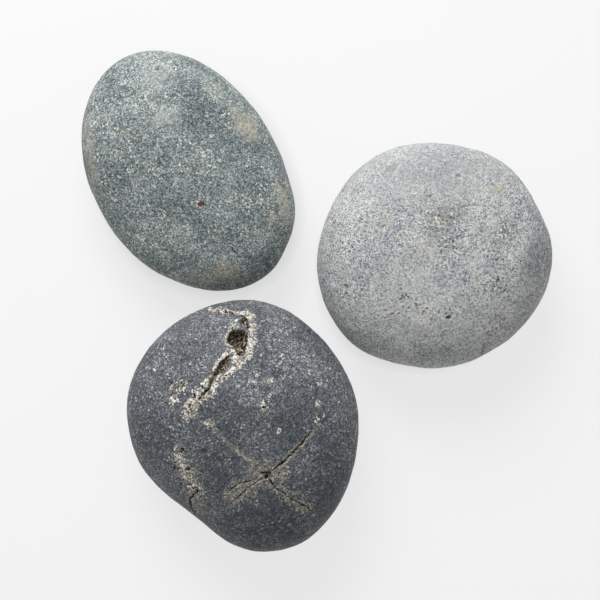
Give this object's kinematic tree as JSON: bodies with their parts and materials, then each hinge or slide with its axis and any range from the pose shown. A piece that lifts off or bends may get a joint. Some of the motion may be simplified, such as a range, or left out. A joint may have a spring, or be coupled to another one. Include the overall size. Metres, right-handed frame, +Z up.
{
  "type": "river rocks",
  "caption": "Set of loose water-worn river rocks lying apart: a green oval one, a pale round one and a dark cracked one with open pits.",
  "frame": {"origin": "on the resting plane, under the middle of the box around all the stones", "axes": "+Z is up; +Y is the set's longer side and points from the dark cracked stone towards the green oval one; +X points towards the pale round stone"},
  "size_m": [0.144, 0.1528, 0.0361],
  "materials": {
    "green_rock": "matte",
    "pale_rock": "matte",
    "dark_rock": "matte"
  },
  "bodies": {
    "root": {"green_oval_stone": "green_rock", "pale_round_stone": "pale_rock", "dark_cracked_stone": "dark_rock"}
  },
  "joints": []
}
